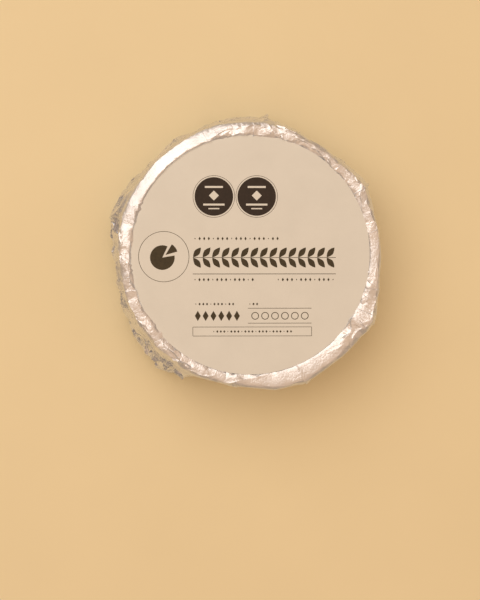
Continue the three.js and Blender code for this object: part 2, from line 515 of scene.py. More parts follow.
# Distances along the section are measured from the middle of the top.
LIP_EDGE_ALONG = 55.2         # where the lip turns down into the side
SIDE_ALONG = 57.0             # where the side begins
BASE_ALONG = 84.0             # where the side turns under into the base
FINE_REGION = (47.0, 97.0)    # where the facets are small
CALM_LIP_LINES = (50.3, 50.6, 51.0, 51.7, 52.5, 53.3, 54.2)
LIP_EDGE_STEPS = 220
LIP_STREAKS = 64              # small folds that run round the lip
SIDE_RADIUS = 54.1
RIM_STEPS = 72
OPENING_STEPS = 48
PLACE_TRIES = 60000           # random places tried when points are scattered
GRID_CELL = 2.0
LINE_SHARE = 0.55             # how much nearer a random place may lie to a line than to another one
STAND_OUT = 2.2               # beyond this, a fold's height is pressed down to a share of itself
PRESSED_SHARE = 0.4


def eased(rows, column, directions):
    """A column of a table of directions, eased smoothly from each row to the next, all the way round."""
    directions = np.asarray(directions, float) % 360
    result = np.zeros_like(directions)
    for row, following in zip(rows, rows[1:] + rows[:1]):
        span = (following[0] - row[0]) % 360
        along = (directions - row[0]) % 360
        inside = along < span
        share = along[inside] / span
        share = share * share * (3 - 2 * share)
        result[inside] = row[column] + (following[column] - row[column]) * share
    return result


def outline_between_corners(directions):
    """How far the foil stands out from the round side when it is pulled straight from corner to corner."""
    directions = np.asarray(directions, float) % 360
    result = np.zeros_like(directions)
    for row, following in zip(FOIL_OUTLINE, FOIL_OUTLINE[1:] + FOIL_OUTLINE[:1]):
        span = math.radians((following[0] - row[0]) % 360)
        along = np.radians((directions - row[0]) % 360)
        inside = along < span
        first, second = SIDE_RADIUS + row[1], SIDE_RADIUS + following[1]
        chord = first * second * math.sin(span)
        chord = chord / (first * np.sin(along[inside]) + second * np.sin(span - along[inside]))
        result[inside] = np.maximum(chord - SIDE_RADIUS, 0)
    return result


class Section:
    """The wrap's section as a smooth curve, read by the distance along it from the middle of the top."""

    def __init__(self, rows, step=0.25):
        rows = np.array(rows)
        padded = np.vstack([2 * rows[0] - rows[1], rows, 2 * rows[-1] - rows[-2]])
        curve = []
        for i in range(1, len(padded) - 2):
            before, start, end, after = padded[i - 1:i + 3]
            span = np.hypot(*(end - start)[:2])
            tension = min(1.0, np.hypot(*(start - before)[:2]) / span) * 0.5
            tension_end = min(1.0, np.hypot(*(after - end)[:2]) / span) * 0.5
            steps = max(2, int(span / step))
            for t in np.arange(steps) / steps:
                leave = (end - before) * tension
                arrive = (after - start) * tension_end
                curve.append(
                    (2 * t**3 - 3 * t**2 + 1) * start + (t**3 - 2 * t**2 + t) * leave
                    + (3 * t**2 - 2 * t**3) * end + (t**3 - t**2) * arrive
                )
        curve.append(padded[-2])
        self.rows = np.array(curve)
        gaps = np.hypot(*np.diff(self.rows[:, :2], axis=0).T)
        self.along = np.concatenate([[0], np.cumsum(gaps)])
        self.length = self.along[-1]
        slope = np.gradient(self.rows[:, :2], self.along, axis=0)
        slope /= np.hypot(slope[:, 0], slope[:, 1])[:, None]
        self.outward = np.column_stack([-slope[:, 1], slope[:, 0]])
        # The map that keeps shapes when the wrap is spread flat: d(log spread) = d(along) / radius.
        radius = np.maximum(self.rows[:, 0], 0.2)
        middle = (radius[1:] + radius[:-1]) / 2
        log_spread = np.concatenate([[math.log(0.2)], math.log(0.2) + np.cumsum(gaps / middle)])
        self.spread = np.exp(log_spread)

    def at(self, along, column):
        return np.interp(along, self.along, self.rows[:, column])

    def normal(self, along):
        return np.column_stack([np.interp(along, self.along, self.outward[:, i]) for i in (0, 1)])

    def spread_at(self, along):
        return np.exp(np.interp(along, self.along, np.log(self.spread)))

    def along_from_spread(self, spread):
        return np.interp(np.log(np.maximum(spread, 1e-6)), np.log(self.spread), self.along)


def scattered(section, rng, low, high, spacing, lines):
    """Random places on the wrap, none nearer its neighbours than spacing(direction, along) in millimetres."""
    grid = {}

    def cell_of(point):
        return tuple(int(math.floor(c / GRID_CELL)) for c in point)

    def solid(direction, along):
        radius = float(section.at(along, 0))
        turn = math.radians(direction)
        return radius * math.cos(turn), radius * math.sin(turn), float(section.at(along, 1))

    def is_clear(point, gap):
        x, y, z = cell_of(point)
        reach = int(gap // GRID_CELL) + 1
        return all(
            math.dist(point, other) >= gap * share
            for i, j, k in product(range(-reach, reach + 1), repeat=3)
            for other, share in grid.get((x + i, y + j, z + k), ())
        )

    for place in lines:
        point = solid(*place)
        grid.setdefault(cell_of(point), []).append((point, LINE_SHARE))
    # Places are drawn evenly over the surface.
    steps = np.linspace(low, high, 400)
    weight = np.cumsum(np.maximum(section.at(steps, 0), 0.5))
    weight /= weight[-1]
    directions = rng.uniform(0, 360, PLACE_TRIES)
    alongs = np.interp(rng.uniform(0, 1, PLACE_TRIES), weight, steps)
    chosen = []
    for direction, along, gap in zip(directions, alongs, spacing(directions, alongs)):
        point = solid(direction, along)
        if is_clear(point, gap):
            grid.setdefault(cell_of(point), []).append((point, 1.0))
            chosen.append((direction, along))
    return chosen


def flat_places(section, places):
    """Places on the wrap, each a direction and a distance along the section, when it is spread flat."""
    places = np.asarray(places, float)
    spread = section.spread_at(places[:, 1])
    turn = np.radians(places[:, 0])
    return np.column_stack([spread * np.cos(turn), spread * np.sin(turn)])


def wrap_places(section, flat):
    """The way back from flat_places."""
    return np.column_stack([
        np.degrees(np.arctan2(flat[:, 1], flat[:, 0])),
        section.along_from_spread(np.hypot(flat[:, 0], flat[:, 1])),
    ])


def facet_heights(flat, corners, heights, triangles):
    """Heights at flat places, read off the plane facets of a triangulation."""
    result = np.zeros(len(flat))
    for a, b, c in triangles:
        pa, pb, pc = corners[a], corners[b], corners[c]
        low = np.minimum(np.minimum(pa, pb), pc) - 1e-6
        high = np.maximum(np.maximum(pa, pb), pc) + 1e-6
        inside = np.where(np.all((flat >= low) & (flat <= high), axis=1))[0]
        if not len(inside):
            continue
        ab, ac = pb - pa, pc - pa
        area = ab[0] * ac[1] - ab[1] * ac[0]
        if abs(area) < 1e-12:
            continue
        away = flat[inside] - pa
        share_b = (away[:, 0] * ac[1] - away[:, 1] * ac[0]) / area
        share_c = (ab[0] * away[:, 1] - ab[1] * away[:, 0]) / area
        hit = (share_b >= -1e-6) & (share_c >= -1e-6) & (share_b + share_c <= 1 + 1e-6)
        value = heights[a] + share_b * (heights[b] - heights[a]) + share_c * (heights[c] - heights[a])
        result[inside[hit]] = value[hit]
    return result


class Pleat:
    """A fold pressed into the side: its crest runs down the wrap, steep on one side and gentle on the other."""

    def __init__(self, direction, start, end, height, lean, drift, width, steep):
        self.direction, self.start, self.end = direction, start, end
        self.height, self.lean, self.drift = height, lean, drift
        self.width, self.steep = width, steep
        self.side = 1 if lean >= 0 else -1

    def crest(self, along):
        """The direction of the crest at a distance along the section."""
        bend = 1.2 * np.sin((along - self.start) * 0.23 + self.direction)
        return self.direction + (self.drift * (along - self.start) + bend) * 180 / math.pi / SIDE_RADIUS

    def ramp(self, along):
        rise = np.clip((along - self.start) / 7, 0, 1)
        fall = np.clip((self.end - along) / 9, 0, 1)
        return rise * fall

    def lines(self):
        """Points along the crest and its foot, which the facets' edges follow."""
        steps = np.arange(self.start, self.end, 1.7)
        crest = [(float(self.crest(a)), float(a)) for a in steps]
        shift = math.degrees(self.steep / SIDE_RADIUS)
        foot = [(direction + self.side * shift, along) for direction, along in crest]
        return crest, foot

    def displacement(self, section, directions, along):
        """How far the fold moves the foil, outwards and to the side, at each place."""
        radius = section.at(along, 0)
        away = np.radians(angle_between(directions, self.crest(along))) * SIDE_RADIUS * self.side
        drop = np.clip(1 - away / self.steep, 0, 1)
        rise = np.clip(1 + away / self.width, 0, 1) ** 1.6
        shape = np.where(away > 0, drop, rise) * self.ramp(along)
        near = np.clip(radius / SIDE_RADIUS, 0, 1)
        return self.height * shape, self.lean * shape * near


class Roll:
    """A fold that runs round the wrap for a short way: steep above its crest and gentler below."""

    def __init__(self, direction, half_width, along, height, slant, above=1.3, below=3.0):
        self.direction, self.half_width, self.along = direction, half_width, along
        self.height, self.slant, self.above, self.below = height, slant, above, below

    def crest(self, away):
        """The crest's distance along the section, at degrees away from the roll's middle."""
        wander = 0.25 * self.above + 0.2
        return self.along + self.slant * away / self.half_width + wander * np.sin(0.6 * away + self.direction)

    def lines(self):
        """Points along the crest and the foot above it, which the facets' edges follow."""
        turns = np.arange(-self.half_width, self.half_width, 1.7)
        crest = [(self.direction + float(turn), float(self.crest(turn))) for turn in turns]
        return crest, [(direction, along - self.above) for direction, along in crest]

    def displacement(self, section, directions, along):
        """How far the fold moves the foil outwards. It moves nothing to the side."""
        turned = angle_between(directions, self.direction)
        away = along - self.crest(turned)
        shape = np.where(away < 0, np.clip(1 + away / self.above, 0, 1), np.clip(1 - away / self.below, 0, 1))
        return self.height * shape * np.sqrt(np.clip(1 - (turned / self.half_width) ** 2, 0, 1)), 0.0


def make_pleats(rng, count):
    """The random pleats down the side, the folds that the tables place, and the streaks round the lip."""
    pleats = []
    for i in range(count):
        direction = (i + rng.uniform(-0.32, 0.32)) * 360 / count
        lively = float(eased(FOIL_LIVELINESS, 1, [direction])[0])
        start = rng.uniform(52, 70) + (6 if lively < 0.5 else 0)
        end = min(start + rng.uniform(18, 60), 125)
        height = rng.uniform(0.5, 1.3) * (0.6 + 0.4 * lively)
        lean = rng.choice([-1, 1]) * rng.uniform(0.5, 1.3)
        drift, width = rng.uniform(-0.5, 0.5), rng.uniform(3, 7)
        pleats.append(Pleat(direction, start, end, height, lean, drift, width, 0.55))
    for direction, height, lean in LIP_CREASES:
        pleats.append(Pleat(direction, 44, 66, height, lean, 0.0, 3.0, 0.4))
    for direction, start, end, height, lean in FOIL_EARS:
        pleats.append(Pleat(direction, start, end, height, lean, rng.uniform(-0.05, 0.05), 2.2, 1.0))
    pleats += [Roll(*row) for row in FOIL_ROLLS]
    for i in range(LIP_STREAKS):
        direction = (i + rng.uniform(-0.4, 0.4)) * 360 / LIP_STREAKS
        lively = float(eased(FOIL_LIVELINESS, 1, [direction])[0])
        height = rng.uniform(0.1, 0.3) * (0.25 + 0.75 * min(lively, 1.2))
        pleats.append(Roll(
            direction, rng.uniform(3.5, 9), rng.uniform(51.3, 55.0), height, rng.uniform(-1.0, 1.0), 0.35, 0.9
        ))
    return pleats


def liveliness(directions, along):
    """How rough the crumpling is. Calm stretches are calm near the top only: lower down surplus gathers."""
    lower = np.clip((along - 58) / 14, 0, 1)
    return np.maximum(eased(FOIL_LIVELINESS, 1, directions), 0.95 * lower * lower * (3 - 2 * lower))


def large_folds(section, rng, settings, fixed):
    """Plane facets a few millimetres wide: their corners laid flat, the corners' heights, and triangles."""
    fold_size = settings.fold_size / MM
    low, high = FINE_REGION

    def spacing(directions, along):
        under = np.clip((along - high) / 6, 0, 1)
        side = np.clip((along - SIDE_ALONG) / 6, 0, 1)
        crowding = 1.3 - 0.3 * liveliness(directions, along)
        return fold_size * crowding * (1 + 0.05 * side) * (1 + 0.6 * under)

    places = np.array(fixed + scattered(section, rng, low + 2, section.length - 3, spacing, []))
    directions, along = places[:, 0], places[:, 1]
    lively = liveliness(directions, along)
    heights = rng.uniform(-0.7, 1.0, len(places)) * settings.fold_depth / MM * (0.08 + 0.92 * lively**1.5)
    # Where the sheet is pulled tight against the round side its folds are low.
    heights *= 0.45 + 0.55 * np.clip(outline_between_corners(directions) / 3, 0, 1)
    heights *= 1 + 3.4 * np.clip((along - SIDE_ALONG) / 5, 0, 1)
    heights *= 1 - 0.4 * np.clip(1 - np.abs(along - 52.5) / 3, 0, 1)
    heights[:len(fixed)] = 0
    net = delaunay_2d_cdt([Vector(p) for p in flat_places(section, places)], [], [], 0, 1e-5)
    corners = np.array([tuple(v) for v in net[0]])
    triangles = [tuple(face) for face in net[2] if len(face) == 3]
    return corners, heights[[ids[0] for ids in net[3]]], triangles


def fold_lines(section, rng, facet_size, corners, triangles):
    """Most edges of the large folds, cut to about a small facet's width: points laid flat, and edges."""
    alongs = wrap_places(section, corners)[:, 1]
    flat, edges, corner_ids = [], [], {}

    def corner_id(i):
        if i not in corner_ids:
            corner_ids[i] = len(flat)
            flat.append(corners[i])
        return corner_ids[i]

    for a, b in sorted({tuple(sorted((f[i], f[(i + 1) % 3]))) for f in triangles for i in range(3)}):
        if min(alongs[a], alongs[b]) < FINE_REGION[0] - 1 or rng.uniform() < 0.25:
            continue
        middle = (alongs[a] + alongs[b]) / 2
        scale = max(float(section.at(middle, 0)), 5) / float(section.spread_at(middle))
        pieces = max(1, round(np.hypot(*(corners[a] - corners[b])) * scale / (facet_size * 1.15)))
        chain = [corner_id(a)]
        for k in range(1, pieces):
            chain.append(len(flat))
            flat.append(corners[a] + (corners[b] - corners[a]) * k / pieces)
        chain.append(corner_id(b))
        edges += list(zip(chain, chain[1:]))
    return flat, edges


def add_pleat_lines(section, pleats, line_flat):
    """Adds the pleats' crests and feet to the lines, and returns their edges."""
    edges = []
    for pleat in pleats:
        for line in pleat.lines():
            first = len(line_flat)
            line_flat += list(flat_places(section, line))
            edges += [(i, i + 1) for i in range(first, len(line_flat) - 1)]
    return edges


def add_lip_rings(section, line_flat):
    """Adds the lines that run all round the lip, and returns their sharp edges and their smooth ones.

    The edge where the lip turns down into the side is one long crease that wanders a little. Where the lip is
    calm its whole section stays smooth.
    """
    sharp, smooth = [], []
    for ring_along, calm_only in [(LIP_EDGE_ALONG, False)] + [(a, True) for a in CALM_LIP_LINES]:
        ids = {}
        for i in range(LIP_EDGE_STEPS):
            direction = 360 * i / LIP_EDGE_STEPS
            turn = math.radians(direction)
            wander = 0 if calm_only else 0.5 * math.sin(turn * 7 + 1) + 0.3 * math.sin(turn * 17)
            place = (direction, ring_along + wander)
            if not calm_only or liveliness(*place) < 0.45:
                ids[i] = len(line_flat)
                line_flat += list(flat_places(section, [place]))
        edges = smooth if calm_only else sharp
        for i in ids:
            following = (i + 1) % LIP_EDGE_STEPS
            if following in ids:
                edges.append((ids[i], ids[following]))
    return sharp, smooth


def small_facets(section, rng, facet_size, fixed, line_flat, edges):
    """Cuts the flat wrap into small facets whose edges follow the lines, and returns the net."""
    low, high = FINE_REGION

    def spacing(directions, along):
        under = np.clip((along - high) / 8, 0, 1)
        lip = np.clip(1 - np.abs(along - 53) / 4.5, 0, 1)
        crowding = 1.4 - 0.35 * liveliness(directions, along)
        return facet_size * crowding * (1 + 1.4 * under) * (1 - 0.5 * np.sqrt(lip))

    line_flat = np.array(line_flat)
    lines = [tuple(place) for place in wrap_places(section, line_flat)]
    facets = scattered(section, rng, low + 1, section.length - 2, spacing, lines)
    flat = np.vstack([flat_places(section, fixed), line_flat, flat_places(section, facets)])
    shift = len(fixed)
    edges = [(a + shift, b + shift) for a, b in edges]
    return delaunay_2d_cdt([Vector(p) for p in flat], edges, [], 0, 1e-4)


def crumple(section, rng, settings, pleats, directions, along, out):
    """Adds crinkles and pleats to the large folds' heights: how far each corner moves out, and sideways."""
    crinkle = rng.normal(0, 1, len(out)) * settings.crinkle_depth / MM
    crinkle *= 1 + 2.2 * np.clip((along - SIDE_ALONG) / 6, 0, 1)
    out += np.clip(crinkle, -0.35, 0.45) * (0.1 + 0.9 * liveliness(directions, along))
    turns = np.radians(directions)
    ripple = 0.08 * np.sin(23 * turns + 0.13 * along) * np.sin(9 * turns + 1.4)
    out += ripple * np.clip((along - 50) / 4, 0, 1)
    sideways = np.zeros(len(out))
    for pleat in pleats:
        pushed, leaned = pleat.displacement(section, directions, along)
        out += pushed
        sideways += leaned
    calm = np.clip((along - 50.4) / 0.9, 0, 1) * np.clip((section.length - along) / 4, 0, 1)
    out *= calm
    # On the side folds stand out freely; on the base they are pressed within the sheet's depth.
    out = np.where(out > STAND_OUT, STAND_OUT + PRESSED_SHARE * (out - STAND_OUT), out)
    on_side = np.clip((along - SIDE_ALONG) / 4, 0, 1)
    on_base = np.clip((along - BASE_ALONG) / 3, 0, 1)
    deepest = -0.35 - 0.35 * on_side * (1 - on_base) + 0.1 * on_base
    highest = 3.5 * (1 - on_base) + 0.12 * on_base
    return np.clip(out, deepest, highest), sideways * (1 - on_base)


def crumpled_places(section, directions, along, out, sideways):
    """Each corner's place: on the smooth wrap, which follows outline and label, then moved from it."""
    around = np.vstack([np.cos(np.radians(directions)), np.sin(np.radians(directions))])
    stands_high = eased(FOIL_OUTLINE, 2, directions)
    stand_share = section.at(along, 3) * (1 - stands_high) + section.at(along, 4) * stands_high
    radius = section.at(along, 0) + section.at(along, 2) * (LABEL_OFFSET @ around)
    radius += stand_share * outline_between_corners(directions)
    height = section.at(along, 1) + section.at(along, 5) * eased(LIP_SLOPE, 1, directions)
    lap = np.zeros(len(out))
    for direction, half_width, reach in LIP_LAPS:
        away = np.clip(1 - np.abs(angle_between(directions, direction)) / half_width, 0, 1)
        lap = np.maximum(lap, reach * np.sqrt(away))
    radius -= 1.5 * lap * np.clip(1 - np.abs(along - 52.1) / 1.3, 0, 1)
    normal = section.normal(along)
    radius += out * normal[:, 0]
    height = np.maximum(height + out * normal[:, 1], 0)
    turn = np.radians(directions) + sideways / np.maximum(radius, 5)
    return np.column_stack([AXIS[0] + radius * np.cos(turn), AXIS[1] + radius * np.sin(turn), height])


def add_lining(corners, faces, ring):
    """Closes the sheet with an inner wall, from the ring of the opening back up to the top."""
    steps = len(ring)
    for radius, height in LINING_SECTION:
        following = list(range(len(corners), len(corners) + steps))
        for i in range(steps):
            turn = math.radians(360 * i / steps)
            corners.append((AXIS[0] + radius * math.cos(turn), AXIS[1] + radius * math.sin(turn), height))
        for i in range(steps):
            j = (i + 1) % steps
            faces.append((ring[i], following[i], following[j], ring[j]))
        ring = following
    faces.append(tuple(reversed(ring)))


def set_creases(mesh, rng, lively, sharp_edges):
    """Old folds are sharp, fresh crinkles between them are softer, and the inner wall keeps its corners."""
    creases = mesh.attributes.new("crease_edge", "FLOAT", "EDGE")
    ends = np.array([edge.vertices[:] for edge in mesh.edges])
    edge_lively = np.append(lively, np.zeros(len(mesh.vertices) - len(lively)))[ends].mean(axis=1)
    is_fold = np.array([tuple(sorted(pair)) in sharp_edges for pair in ends.tolist()])
    amounts = np.clip(rng.uniform(-0.4, 0.7, len(ends)), 0, 1) * np.clip(edge_lively, 0, 1)
    amounts[is_fold] = np.clip(0.15 + 0.85 * edge_lively[is_fold], 0, 0.95)
    amounts[(ends >= len(lively)).all(axis=1)] = 1.0
    creases.data.foreach_set("value", amounts)


def model_foil(settings):
    """The foil: its wrap is cut into facets while it is spread flat, then folded up and crumpled."""
    rng = np.random.default_rng(settings.seed)
    section = Section(WRAP_SECTION)
    facet_size = settings.facet_size / MM
    rim = [(360 * i / RIM_STEPS, FINE_REGION[0]) for i in range(RIM_STEPS)]
    opening = [(360 * i / OPENING_STEPS, section.length) for i in range(OPENING_STEPS)]
    fixed = rim + opening + [(0.0, 0.0)]

    fold_corners, fold_heights, fold_triangles = large_folds(section, rng, settings, fixed)
    line_flat, line_edges = fold_lines(section, rng, facet_size, fold_corners, fold_triangles)
    pleats = make_pleats(rng, settings.pleats)
    pleat_edges = add_pleat_lines(section, pleats, line_flat)
    lip_edges, smooth_edges = add_lip_rings(section, line_flat)
    creased = line_edges + pleat_edges + lip_edges
    net = small_facets(section, rng, facet_size, fixed, line_flat, creased + smooth_edges)
    flat = np.array([tuple(v) for v in net[0]])
    faces = [tuple(face) for face in net[2] if len(face) == 3]
    sharp_edges = {
        tuple(sorted(edge)) for edge, origin in zip(net[1], net[4]) if any(i < len(creased) for i in origin)
    }

    spread = np.hypot(flat[:, 0], flat[:, 1])
    directions = np.degrees(np.arctan2(flat[:, 1], flat[:, 0])) % 360
    along = section.along_from_spread(spread)
    along[spread < 0.3] = 0
    out = facet_heights(flat, fold_corners, fold_heights, fold_triangles)
    out, sideways = crumple(section, rng, settings, pleats, directions, along, out)
    corners = list(map(tuple, crumpled_places(section, directions, along, out, sideways)))
    goals = flat_places(section, opening)
    ring = [int(np.argmin(np.hypot(*(flat - goal).T))) for goal in goals]
    add_lining(corners, faces, ring)

    mesh = bpy.data.meshes.new("foil_wrap_sheet")
    mesh.from_pydata([tuple(c * MM for c in corner) for corner in corners], [], faces)
    mesh.update()
    piece = bpy.data.objects.new("foil_wrap_sheet", mesh)
    bpy.context.collection.objects.link(piece)
    set_creases(mesh, rng, liveliness(directions, along), sharp_edges)
    apply_modifier(piece, "SUBSURF", levels=1, render_levels=1)
    make_active(piece)
    bpy.ops.object.shade_smooth_by_angle(angle=math.radians(20))
    return piece


class CHEESE_OT_foil(bpy.types.Operator):
    """Model the crumpled foil wrap"""

    bl_idname = "cheese.foil"
    bl_label = "Foil wrap"

    def execute(self, context):
        settings = context.scene.cheese_foil
        piece = model_foil(settings)
        finish_piece(piece, "crumpled_foil", rolled_foil_material(tuple(settings.colour)), "foil_wrap")
        return {"FINISHED"}


# ---------------------------------------------------------------- label

PAPER_DROP = 0.08             # how far the paper's mean surface lies below the label's top
LABEL_STEPS = 180
LABEL_RINGS = 20
WIDEST_RING = 3.2


def label_wave(x, y):
    """How far the label's paper lifts from flat at a place measured from its centre, in millimetres."""
    radius = np.hypot(x, y)
    turn = np.arctan2(y, x)
    bow = 0.06 * np.sin(0.055 * x + 0.9) + 0.05 * np.sin(0.07 * y - 0.02 * x)
    edge = np.clip((radius - 38) / (LABEL_RADIUS - 38), 0, 1) ** 2
    lift = 0.07 * np.sin(3 * turn + 0.7) + 0.05 * np.sin(7 * turn + 2.0) + 0.04 * np.sin(13 * turn) - 0.05
    return bow + edge * lift


def model_label(settings):
    """A round of paper, spun from a radius and given its thickness, lying slightly wavy on the foil."""
    deselect_all()
    bpy.ops.mesh.primitive_circle_add(vertices=LABEL_STEPS, radius=LABEL_RADIUS * MM, fill_type="NGON")
    piece = name_piece("label_paper_round")
    bpy.ops.object.mode_set(mode="EDIT")
    bpy.ops.mesh.select_all(action="SELECT")
    inset = 0.5
    for _ in range(LABEL_RINGS):
        bpy.ops.mesh.inset(thickness=inset * MM)
        inset = min(inset * 1.3, WIDEST_RING)
    bpy.ops.mesh.poke()
    bpy.ops.object.mode_set(mode="OBJECT")
    places = vertex_array(piece)
    places[:, 2] += label_wave(places[:, 0], places[:, 1])
    places[:, :2] += LABEL_CENTRE
    places[:, 2] += LABEL_TOP - PAPER_DROP
    set_vertices(piece, places)
    apply_modifier(piece, "SOLIDIFY", thickness=settings.thickness, offset=-1)
    make_active(piece)
    bpy.ops.object.shade_smooth_by_angle(angle=math.radians(40))
    return piece


class CHEESE_OT_label(bpy.types.Operator):
    """Model the round paper label"""

    bl_idname = "cheese.label"
    bl_label = "Paper label"

    def execute(self, context):
        settings = context.scene.cheese_label
        piece = model_label(settings)
        paper = uncoated_paper_material(tuple(settings.paper_colour))
        finish_piece(piece, "label_paper", paper, "paper_label")
        return {"FINISHED"}


# ---------------------------------------------------------------- print

INK_THICKNESS = 0.04
INK_SINK = 0.01               # how far the ink's underside lies in the paper
SIGN_LIFT = 0.03              # the badges' signs lie on the badges' ink
BEND_STEP = 4                 # print is cut this often, so that it can follow the paper
PRINT_LEFT = -24.3
BADGES = ((-15.4, 24.6), (2.65, 24.6))


def bar(x, y, width, height):
    """A solid printed bar, its centre measured from the label's centre."""
    bpy.ops.mesh.primitive_plane_add(size=1, location=(x * MM, y * MM, 0))
    piece = bpy.context.object
    piece.scale = (width * MM, height * MM, 1)
    return piece


def lozenge(x, y, width, height):
    """A solid square on its corner, drawn to a width and a height."""
    bpy.ops.mesh.primitive_circle_add(vertices=4, radius=0.5, fill_type="NGON", location=(x * MM, y * MM, 0))
    piece = bpy.context.object
    piece.scale = (width * MM, height * MM, 1)
    return piece


def disc(x, y, radius, vertices=64):
    bpy.ops.mesh.primitive_circle_add(
        vertices=vertices, radius=radius * MM, fill_type="NGON", location=(x * MM, y * MM, 0)
    )
    return bpy.context.object


def ring(x, y, radius, line, vertices=96):
    piece = disc(x, y, radius, vertices)
    bpy.ops.object.mode_set(mode="EDIT")
    bpy.ops.mesh.select_all(action="SELECT")
    bpy.ops.mesh.inset(thickness=line * MM)
    bpy.ops.mesh.delete(type="FACE")
    bpy.ops.object.mode_set(mode="OBJECT")
    return piece


def leaf(x, y, length, width, turn):
    """A pointed leaf: a round drawn out to two points, turned about its root."""
    piece = disc(0, 0, 1 / MM, 24)
    places = vertex_array(piece) * MM
    across = places[:, 1] * (1 - np.abs(places[:, 0])) ** 0.35
    shaped = np.column_stack([(places[:, 0] + 1) * length / 2, across * width / 2, np.zeros(len(places))])
    set_vertices(piece, shaped)
    piece.rotation_euler.z = turn
    piece.location = (x * MM, y * MM, 0)
    return piece


def dotted_line(start, end, y, height, gap=1.9):
    """A line of small lozenges and dots."""
    count = max(2, round((end - start) / gap))
    marks = []
    for i in range(count):
        x = start + (i + 0.5) * (end - start) / count
        width = 0.62 if i % 4 else 0.3
        marks.append(lozenge(x, y, width * 1.5, height if i % 4 else height * 0.5))
    return marks


def garland(start, end, y, height, pairs):
    """A straight stem with pairs of leaves along it."""
    marks = [bar((start + end) / 2, y, end - start, 0.22)]
    step = (end - start) / pairs
    for i in range(pairs):
        x = start + i * step + 0.2
        for side in (-1, 1):
            marks.append(leaf(x, y + side * 0.15, step * 1.28, height * 0.27, side * math.radians(52)))
    return marks


def sector(x, y, radius, start, end, steps=24):
    """A solid slice of a disc between two angles in degrees."""
    piece = disc(0, 0, 1, 3)
    places = [(0.0, 0.0, 0.0)]
    for i in range(steps + 1):
        turn = math.radians(start + (end - start) * i / steps)
        places.append((radius * math.cos(turn) * MM, radius * math.sin(turn) * MM, 0.0))
    piece.data.clear_geometry()
    piece.data.from_pydata(places, [], [tuple(range(len(places)))])
    piece.location = (x * MM, y * MM, 0)
    return piece


def wheel_sign(x, y):
    """A cheese wheel seen from above with one wedge drawn out, inside a thin ring."""
    marks = [ring(x, y, 10.7, 0.2)]
    marks.append(sector(x - 0.6, y - 0.4, 5.2, 65, 370))
    marks.append(sector(x + 0.7, y + 0.7, 5.2, 16, 59))
    return marks


def join_marks(name, marks, slot, material):
    """Joins the marks into one printed piece that follows the label's paper."""
    deselect_all()
    for mark in marks:
        mark.select_set(True)
    bpy.context.view_layer.objects.active = marks[0]
    bpy.ops.object.transform_apply(location=True, rotation=True, scale=True)
    bpy.ops.object.join()
    piece = name_piece(name)
    apply_modifier(piece, "TRIANGULATE")
    low = vertex_array(piece).min(axis=0)
    high = vertex_array(piece).max(axis=0)
    bpy.ops.object.mode_set(mode="EDIT")
    for x in np.arange(math.ceil(low[0] / BEND_STEP) * BEND_STEP, high[0], BEND_STEP):
        bpy.ops.mesh.select_all(action="SELECT")
        bpy.ops.mesh.bisect(plane_co=(x * MM, 0, 0), plane_no=(1, 0, 0))
    bpy.ops.object.mode_set(mode="OBJECT")
    places = vertex_array(piece)
    places[:, 2] = label_wave(places[:, 0], places[:, 1]) + LABEL_TOP - PAPER_DROP - INK_SINK
    places[:, :2] += LABEL_CENTRE
    set_vertices(piece, places)
    apply_modifier(piece, "SOLIDIFY", thickness=INK_THICKNESS * MM, offset=1)
    finish_piece(piece, slot, material)
    return piece


def badge_marks(x, y):
    """A solid round badge inside a thin ring."""
    return [disc(x, y, 8.1, 96), ring(x, y, 8.85, 0.16)]


def badge_sign(x, y):
    """The pale sign on a badge: a lozenge between two bars."""
    return [
        lozenge(x, y + 0.4, 4.2, 4.2),
        bar(x, y + 4.0, 7.6, 0.8), bar(x, y - 3.4, 9.0, 0.8), bar(x, y - 5.1, 4.6, 0.5),
    ]


def ink_marks():
    """All the marks printed in plain ink, from the top of the label down."""
    marks = dotted_line(PRINT_LEFT, 12.4, 6.9, 1.5)
    marks += garland(PRINT_LEFT, 36.1, -1.1, 9.2, 15)
    marks.append(bar(5.9, -8.0, 60.4, 0.24))
    marks += dotted_line(PRINT_LEFT, 1.9, -10.4, 1.5)
    marks += dotted_line(10.8, 35.9, -10.4, 1.5)
    marks += wheel_sign(-36.5, -0.7)
    marks += dotted_line(-23.8, -6.5, -20.7, 1.2, 1.6)
    marks += dotted_line(-1.0, 3.6, -20.7, 1.2, 1.6)
    for i in range(6):
        marks.append(lozenge(-22.2 + i * 3.3, -25.7, 2.5, 4.3))
    for y in (-22.5, -28.8):
        marks.append(bar(12.4, y, 26.9, 0.2))
    for i in range(6):
        marks.append(ring(2.0 + i * 4.2, -25.7, 1.6, 0.3, 32))
    for y in (-30.4, -34.2):
        marks.append(bar(0.8, y, 50.2, 0.18))
    for x in (PRINT_LEFT, 25.9):
        marks.append(bar(x, -32.3, 0.18, 3.8))
    marks += dotted_line(-16.2, 17.9, -32.3, 1.1, 1.5)
    return marks


class CHEESE_OT_print(bpy.types.Operator):
    """Model the label's print"""

    bl_idname = "cheese.label_print"
    bl_label = "Label print"

    def execute(self, context):
        settings = context.scene.cheese_label
        deselect_all()
        ink = printing_ink_material("offset_ink", tuple(settings.ink_colour))
        join_marks("label_print", ink_marks(), "label_ink", ink)
        solid = badge_marks(*BADGES[0]) + badge_marks(*BADGES[1])
        badge_ink = printing_ink_material("offset_badge_ink", tuple(settings.badge_colour))
        join_marks("label_badges", solid, "label_ink", badge_ink)
        signs = badge_sign(*BADGES[0]) + badge_sign(*BADGES[1])
        paper = uncoated_paper_material(tuple(settings.paper_colour))
        pale = join_marks("badge_signs", signs, "label_paper", paper)
        places = vertex_array(pale)
        places[:, 2] += SIGN_LIFT
        set_vertices(pale, places)
        return {"FINISHED"}


# ---------------------------------------------------------------- stage

